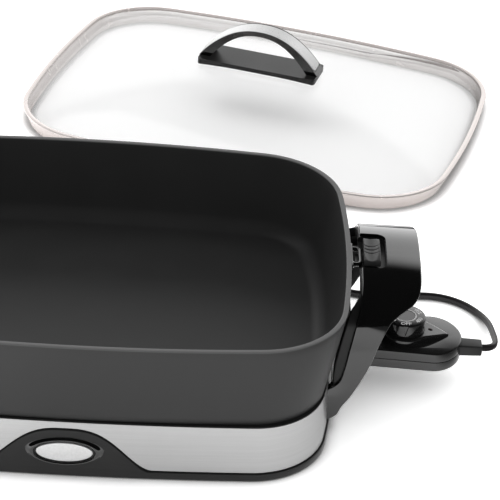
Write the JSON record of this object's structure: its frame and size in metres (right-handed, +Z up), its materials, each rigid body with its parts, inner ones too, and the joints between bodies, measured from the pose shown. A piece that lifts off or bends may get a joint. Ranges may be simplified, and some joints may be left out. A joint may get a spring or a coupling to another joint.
{
  "type": "electric skillet",
  "caption": "Deep rectangular electric skillet on a removable base, with latched swing handles, a plug-in temperature control and cord, and a loose domed glass lid.",
  "frame": {"origin": "on the surface the skillet stands on, under the middle of the box round the skillet and its lid, without the cord", "axes": "+Z up; +X along the length of the skillet towards the temperature control; -Y out of the side with the badge, the lid lies on the +Y side"},
  "size_m": [0.6376, 0.8042, 0.1204],
  "materials": {
    "amber_lens": "tinted lens",
    "bright_steel": "polished",
    "brushed_band": "brushed along its length",
    "cast_coating": "matte dark non-stick coating",
    "ceramic": "moulded insulator",
    "clear_glass": "clear tempered glass",
    "cord_black": "smooth jacket",
    "element_sheath": "oxidised sheath",
    "foot_rubber": "matte",
    "gloss_black": "glossy black phenolic",
    "matte_grey": "matte dark grey",
    "satin_black": "satin black",
    "silver_plate": "satin",
    "warm_steel": "polished stainless with a warm tone"
  },
  "bodies": {
    "base": {"base_frame": "satin_black", "rubber_foot_1": "foot_rubber", "rubber_foot_2": "foot_rubber", "rubber_foot_3": "foot_rubber", "rubber_foot_4": "foot_rubber", "steel_band": "brushed_band", "badge_bezel": "gloss_black", "badge_plate": "silver_plate", "right_hinge_pin_1": "bright_steel", "right_hinge_pin_2": "bright_steel", "left_hinge_pin_1": "bright_steel", "left_hinge_pin_2": "bright_steel"},
    "pan": {"pan_body": "cast_coating", "heating_element": "element_sheath", "terminal_pin_1": "silver_plate", "terminal_pin_2": "silver_plate", "socket_guard": "bright_steel", "right_bracket": "gloss_black", "right_bracket_screw": "bright_steel", "left_bracket": "gloss_black", "left_bracket_screw": "bright_steel"},
    "right_handle": {"right_handle_shell": "gloss_black", "right_handle_liner": "satin_black", "right_cross_panel": "matte_grey", "right_handle_screw_1": "bright_steel", "right_handle_screw_2": "bright_steel", "right_latch_spring": "bright_steel"},
    "left_handle": {"left_handle_shell": "gloss_black", "left_handle_liner": "satin_black", "left_cross_panel": "matte_grey", "left_handle_screw_1": "bright_steel", "left_handle_screw_2": "bright_steel", "left_latch_spring": "bright_steel"},
    "right_latch": {"right_latch_button": "matte_grey", "right_latch_tongue": "bright_steel"},
    "left_latch": {"left_latch_button": "matte_grey", "left_latch_tongue": "bright_steel"},
    "control": {"control_upper_shell": "gloss_black", "control_lower_shell": "gloss_black", "control_screw_1": "bright_steel", "control_screw_2": "bright_steel", "contact_block": "ceramic", "sensor_rod": "bright_steel", "pilot_lens": "amber_lens", "strain_relief": "matte_grey", "cord_run": "cord_black", "cord_coil": "cord_black", "plug_body": "cord_black", "plug_blade_1": "silver_plate", "plug_blade_2": "silver_plate"},
    "dial": {"temperature_dial": "gloss_black"},
    "lid": {"lid_rim": "warm_steel", "lid_glass": "clear_glass", "lid_handle_base": "satin_black", "lid_handle_arch": "gloss_black", "lid_screw_1": "bright_steel", "lid_screw_2": "bright_steel", "lid_handle_strap": "brushed_band"}
  },
  "joints": [
    {"name": "pan_lift", "type": "slide", "parent": "base", "child": "pan", "axis": [0, 0, 1], "range_m": [0, 0.01]},
    {"name": "right_handle_swing", "type": "hinge", "parent": "base", "child": "right_handle", "pos_m": [0.14185, -0.24322, 0.0205], "axis": [0, 1, 0], "range_deg": [0, 26]},
    {"name": "left_handle_swing", "type": "hinge", "parent": "base", "child": "left_handle", "pos_m": [-0.24615, -0.24322, 0.0205], "axis": [0, -1, 0], "range_deg": [0, 26]},
    {"name": "right_button_press", "type": "slide", "parent": "right_handle", "child": "right_latch", "axis": [0, 0, -1], "range_m": [0, 0.003], "stiffness_N_per_m": 300, "deforming": ["right_latch_spring"]},
    {"name": "left_button_press", "type": "slide", "parent": "left_handle", "child": "left_latch", "axis": [0, 0, -1], "range_m": [0, 0.003], "stiffness_N_per_m": 300, "deforming": ["left_latch_spring"]},
    {"name": "control_pull", "type": "slide", "parent": "pan", "child": "control", "axis": [1, 0, 0], "range_m": [0, 0.06]},
    {"name": "dial_turn", "type": "hinge", "parent": "control", "child": "dial", "pos_m": [0.20845, -0.24322, 0.05], "axis": [0, 0, -1], "range_deg": [0, 300]},
    {"name": "lid_lift", "type": "slide", "parent": "base", "child": "lid", "axis": [0, 0, 1], "range_m": [0, 0.15]}
  ]
}
